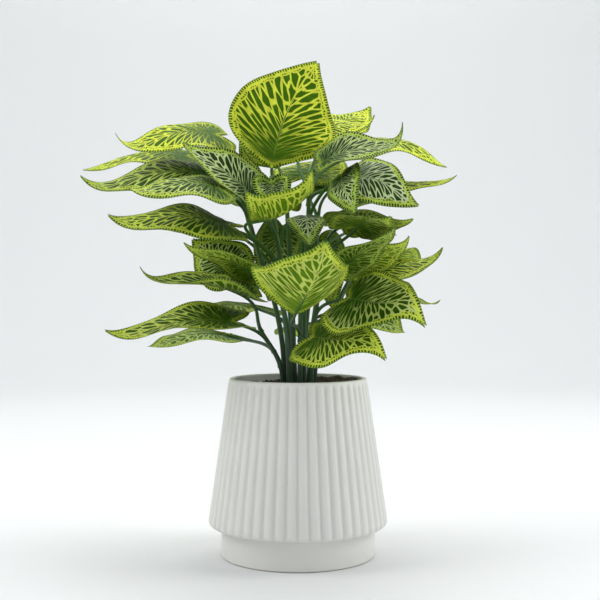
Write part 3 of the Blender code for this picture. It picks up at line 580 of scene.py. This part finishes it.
LEAF_ROWS = 72
LEAF_COLUMNS = 27
t_row = np.linspace(0.0, 1.0, LEAF_ROWS + 2)[1:-1]
v_column = np.sin(np.linspace(-math.pi / 2, math.pi / 2, LEAF_COLUMNS))
v_column[LEAF_COLUMNS // 2] = 0.0
t_grid, v_grid = np.meshgrid(t_row, v_column, indexing="ij")
total = LEAF_ROWS * LEAF_COLUMNS + 2
notch, point = total - 2, total - 1
sheet_faces = grid_faces(LEAF_ROWS, LEAF_COLUMNS)[:, ::-1]
ends = np.arange(LEAF_COLUMNS - 1)
last_row = (LEAF_ROWS - 1) * LEAF_COLUMNS
notch_fan = np.column_stack([np.full(len(ends), notch), ends, ends + 1])
point_fan = np.column_stack([last_row + ends, np.full(len(ends), point), last_row + ends + 1])
fans = np.vstack([notch_fan, point_fan])
one_side = np.arange(LEAF_ROWS) * LEAF_COLUMNS
loop = np.concatenate([[notch], one_side, [point], one_side[::-1] + LEAF_COLUMNS - 1])
after = np.roll(loop, -1)
upper_faces = sheet_faces.tolist() + fans.tolist()
lower_faces = (sheet_faces[:, ::-1] + total).tolist() + (fans[:, ::-1] + total).tolist()
cut_faces = np.column_stack([after, loop, loop + total, after + total]).tolist()
leaf_faces = upper_faces + lower_faces + cut_faces
leaf_sides = np.ones(len(leaf_faces), dtype=np.int32)
leaf_sides[: len(upper_faces)] = 0

for number, leaf in enumerate(LEAVES, 1):
    name, base, tip, width = leaf[0], np.array(leaf[2], float), np.array(leaf[3], float), leaf[5]
    # How far painted light through the cloth yellows the leaf, and how pale its lines are, partly print and
    # partly painted sheen.
    lit, pale_sheen = leaf[13:]
    middle, normal, _ = blade_surface(leaf, t_grid, v_grid)
    end_points, end_normals, _ = blade_surface(leaf, np.array([0.0, 0.99]), np.zeros(2))
    edge = np.abs(v_grid)
    # Pleats: each side vein is pressed in as a shallow cosine groove that fades out at
    # the midrib and the margin; the midrib itself is a narrow groove.
    off_rib = edge * through(OUTLINE, t_grid)[..., 3] * width / 2.0
    pleat = 0.32 * np.cos(math.pi * VEINS * t_grid) * np.clip(off_rib / 4.0, 0, 1) * (1.0 - edge**3)
    rib_groove = -0.6 * np.exp(-((off_rib / 1.6) ** 2)) * smooth_step(1.0, 0.8, t_grid)
    middle = middle + normal * (pleat + rib_groove)[..., None]
    cloth = 0.5 * BLADE * (1.0 - 0.5 * edge**8)
    points = np.vstack([middle.reshape(-1, 3), end_points])
    normals = np.vstack([normal.reshape(-1, 3), end_normals])
    thick = np.concatenate([cloth.ravel(), [0.15, 0.1]])[:, None]
    run, gap = margin_fields(points, points[loop])
    away_from_stalk = np.linalg.norm(points - base, axis=1) / np.linalg.norm(tip - base)
    zone = np.maximum(smooth_step(0.02, 0.5, away_from_stalk), 0.8 * smooth_step(7.0, 1.0, gap))
    net = np.column_stack([np.append(t_grid.ravel(), [0.0, 1.0]) * VEINS,
                           np.append(v_grid.ravel(), [0.0, 0.0]), np.full(total, 3.7 * number)])
    rim = np.column_stack([run, gap, np.append(off_rib.ravel(), [0.0, 0.0])])
    tone = np.column_stack([zone, np.full(total, lit), np.full(total, pale_sheen)])
    fields = {key: np.vstack([one, one]) for key, one in (("net", net), ("rim", rim), ("tone", tone))}
    both_sides = np.vstack([points + normals * thick, points - normals * thick])
    piece = add_piece(name + "_blade", both_sides, leaf_faces, [face_print, back_print],
                      [name], fields)
    piece.data.polygons.foreach_set("material_index", leaf_sides)


# The stems. Moulded polyethylene over a thin wire, pushed into the soil as one bunch.
# Each branches into leaf stalks, thickened where they leave it, which run on under the
# blades as a tapering rib that the cloth is glued to.
STEM_R = 2.0
STEMS = {  # root on the soil (x, y), point where the main stem ends (x, y, z), mm
    "stem_01": ((-3.0, -4.0), (-8.0, -5.0, 254.0)),
    "stem_02": ((4.0, -3.0), (8.0, 0.0, 258.0)),
    "stem_03": ((4.5, 4.5), (15.0, 22.0, 240.0)),
    "stem_04": ((-2.5, 4.0), (-17.0, 16.0, 240.0)),
    "stem_05": ((-10.0, 5.5), (-37.0, 14.0, 246.0)),
    "stem_06": ((-6.5, -11.0), (-14.0, -24.0, 208.0)),
    "stem_07": ((1.5, -11.5), (3.0, -20.0, 222.0)),
    "stem_08": ((9.5, -9.0), (20.0, -12.0, 225.0)),
    "stem_09": ((12.0, 0.0), (29.0, 9.0, 180.0)),
    "stem_10": ((8.5, 11.0), (16.0, 30.0, 200.0)),
    "stem_11": ((-3.5, 12.0), (-16.0, 30.0, 200.0)),
    "stem_12": ((-11.0, -2.5), (-28.0, 0.0, 165.0)),
}
STEM_FOOT = 95.3
STEM_STRAIGHT = 126.2
STALK_STEPS = 26
RIB_STEPS = 16


def bezier(p0, p1, p2, p3, count):
    """Evenly stepped points on the cubic curve with handles p1 and p2."""
    u = np.linspace(0.0, 1.0, count)[:, None]
    w = 1.0 - u
    return w**3 * p0 + 3 * w * w * u * p1 + 3 * w * u * u * p2 + u**3 * p3


def main_line(name, count):
    """Centre line of a main stem: upright in the soil, then a cubic curve to its end."""
    (x, y), top = STEMS[name]
    top = np.array(top)
    start = np.array((x, y, STEM_STRAIGHT))
    rise = top[2] - start[2]
    curve = bezier(start, start + np.array((0.0, 0.0, 0.45 * rise)),
                   top - np.array((0.35 * (top[0] - x), 0.35 * (top[1] - y), 0.3 * rise)), top, count)
    return np.vstack([(x, y, STEM_FOOT), curve])


def stalk_line(leaf, path):
    """Centre line of a leaf stalk, and its radii.

    A cubic curve leaves the main stem inside it and ends under the blade's foot; the
    rib then follows the underside of the midrib and thins out.
    """
    base = np.array(leaf[2], dtype=float)
    under, normal, _ = (part[0] for part in blade_surface(leaf, np.array([0.3]), np.zeros(1)))
    end = under - normal * (SOLID_BLADE / 2.0 + GAP + STALK_R)
    away = np.linalg.norm(base[:2] - path[-1][:2])
    index = int(np.clip(np.searchsorted(path[:, 2], base[2] - 0.6 * away - 10.0), 3, len(path) - 1))
    climb = unit(path[index] - path[index - 1])
    start = path[index] - climb * 3.0
    reach = np.linalg.norm(end - start)
    curve = bezier(start, start + climb * 0.4 * reach,
                   end - unit(under - base) * min(26.0, 0.45 * reach) - normal * 3.0, end, STALK_STEPS)
    t = np.linspace(0.36, 0.92, RIB_STEPS)
    ribbed, facing, _ = blade_surface(leaf, t, np.zeros(RIB_STEPS))
    size = 1.0 - 0.75 * np.linspace(0.0, 1.0, RIB_STEPS)
    sink = np.linspace(1.5, 0.45, RIB_STEPS) * size + 0.2
    rib = ribbed - facing * sink[:, None]
    thickened = 0.9 * np.exp(-np.arange(STALK_STEPS) / 1.6)
    radii = STALK_R + 0.15 + thickened - np.linspace(0, 0.3, STALK_STEPS)
    return np.vstack([curve, rib]), np.concatenate([radii, size])


def tube(path, radius, sides):
    """A round rod: at each point of the path a circle, square to the path.

    The circle's first axis is the cross product of the path's direction with the normal
    of the plane that the path lies in most nearly, so that the circles don't twist.
    """
    tangent = unit(np.gradient(path, axis=0))
    spread = path - path.mean(0)
    plane = np.linalg.svd(spread, full_matrices=False)[2][2]
    first = unit(np.cross(tangent, plane))
    second = np.cross(tangent, first)
    angle = 2.0 * math.pi * np.arange(sides) / sides
    cos, sin = np.cos(angle)[None, :, None], np.sin(angle)[None, :, None]
    points = path[:, None] + radius[:, None, None] * (cos * first[:, None] + sin * second[:, None])
    return points.reshape(-1, 3), lidded_faces(len(path), sides)


def moulded_stem():
    """Polyethylene, injection moulded.

    It gives the eye a waxy mid green, made bluish and darker down in the bunch by painted
    shade, with long soft highlights and faint lengthwise flow lines.
    """
    made, tree, shader = new_material("moulded_stem_plastic")
    place = add(tree, "TexCoord").outputs["Object"]
    high = add(tree, "SeparateXYZ", {0: place}).outputs["Z"]
    # Painted shade: the green turns darker and bluish towards the bottom of the bunch.
    up = add(tree, "MapRange", {"Value": high, "From Min": 0.14, "From Max": 0.24})
    shaded_green = add(tree, "Mix", {0: up.outputs["Result"], 6: srgb("#1f4420"), 7: srgb("#3f6c18")},
                data_type="RGBA")
    flow = add(tree, "Mapping", {"Vector": place, "Scale": (900.0, 900.0, 60.0)})
    streak = add(tree, "TexNoise", {"Vector": flow.outputs[0], "Scale": 1.0, "Detail": 2.0})
    value = add(tree, "MapRange", {"Value": streak.outputs["Fac"], "To Min": 0.8, "To Max": 1.2})
    toned = add(tree, "HueSaturation", {"Color": shaded_green.outputs[2], "Value": value.outputs["Result"]})
    tree.links.new(toned.outputs["Color"], shader.inputs["Base Color"])
    shader.inputs["Roughness"].default_value = 0.42
    add_relief(tree, shader, streak.outputs["Fac"], 0.2, 0.0002)
    return made


stem_look = moulded_stem()
for name in STEMS:
    route = main_line(name, 8)
    fine = main_line(name, 60)
    points, faces = tube(fine, np.linspace(STEM_R, 1.6, len(fine)), 16)
    for leaf in (one for one in LEAVES if one[1] == name):
        more, extra = tube(*stalk_line(leaf, route), 12)
        faces += [[i + len(points) for i in face] for face in extra]
        points = np.vstack([points, more])
    add_piece(name + "_rod", points, faces, [stem_look], [name], sharp=60.0)


# The studio: a pale matt sweep whose floor turns up into a wall all round, a large soft
# light from the left, one from the right, one from above and behind, and one that
# brightens the wall behind the plant towards the top.
SWEEP_R, SWEEP_BEND, SWEEP_TOP = 2.4, 0.9, 3.0
SWEEP_COLUMNS = 96
bend_angle = np.linspace(0.0, math.pi / 2, 16)
sweep_r = np.concatenate([[0.02, 0.3, 1.0],
                          SWEEP_R - SWEEP_BEND + SWEEP_BEND * np.sin(bend_angle), [SWEEP_R]])
sweep_z = np.concatenate([[0.0, 0.0, 0.0], SWEEP_BEND - SWEEP_BEND * np.cos(bend_angle), [SWEEP_TOP]])
round_angle = 2.0 * math.pi * np.arange(SWEEP_COLUMNS) / SWEEP_COLUMNS
sweep_points = np.stack([sweep_r[:, None] * np.cos(round_angle), sweep_r[:, None] * np.sin(round_angle),
                         np.broadcast_to(sweep_z[:, None], (len(sweep_r), SWEEP_COLUMNS))], -1)
sweep_faces = grid_faces(len(sweep_r), SWEEP_COLUMNS, closed=True)[:, ::-1].tolist()
sweep_faces.append(list(range(SWEEP_COLUMNS)))
sweep_mesh = bpy.data.meshes.new("studio_sweep")
sweep_mesh.from_pydata(sweep_points.reshape(-1, 3).tolist(), [], sweep_faces)
sweep_mesh.shade_smooth()
sweep = bpy.data.objects.new("studio_sweep", sweep_mesh)
bpy.context.scene.collection.objects.link(sweep)
sweep_paint, _, sweep_shader = new_material("studio_paint")
sweep_shader.inputs["Base Color"].default_value = srgb("#eeefef")
sweep_shader.inputs["Roughness"].default_value = 0.9
sweep_mesh.materials.append(sweep_paint)

world = bpy.data.worlds.new("studio_air")
world.use_nodes = True
air = world.node_tree.nodes["Background"]
air.inputs["Color"].default_value = srgb("#f2f6fb")
air.inputs["Strength"].default_value = 0.42
bpy.context.scene.world = world
for name, place, target, size, power in (
    ("light_left", (-1.3, -0.2, 1.1), (0.0, 0.0, 0.2), 0.9, 9.0),
    ("light_right", (1.3, 0.0, 0.9), (0.0, 0.0, 0.2), 0.8, 8.4),
    ("light_above", (0.0, 0.5, 1.6), (0.0, 0.0, 0.2), 1.2, 12.5),
    ("light_wall", (0.0, 1.1, 1.9), (0.0, 2.4, 1.5), 1.0, 10.0),
):
    lamp = bpy.data.lights.new(name, "AREA")
    lamp.size = size
    lamp.energy = power
    lamp_object = bpy.data.objects.new(name, lamp)
    lamp_object.location = place
    aim = np.array(target) - np.array(place)
    down = math.acos(-aim[2] / np.linalg.norm(aim))
    lamp_object.rotation_euler = (down, 0.0, math.atan2(aim[1], aim[0]) - math.pi / 2)
    bpy.context.scene.collection.objects.link(lamp_object)

# The camera, worked out from the ellipses of the pot's rim and foot: level, 186 mm above
# the floor and 767 mm in front of the pot's axis.
camera = bpy.data.cameras.new("camera")
camera.lens = 62.7
camera.sensor_width = 36.0
camera_object = bpy.data.objects.new("camera", camera)
camera_object.location = (0.0015, -0.767, 0.186)
camera_object.rotation_euler = (math.pi / 2, 0.0, 0.0)
bpy.context.scene.collection.objects.link(camera_object)
bpy.context.scene.camera = camera_object
bpy.context.scene.view_settings.view_transform = "Standard"
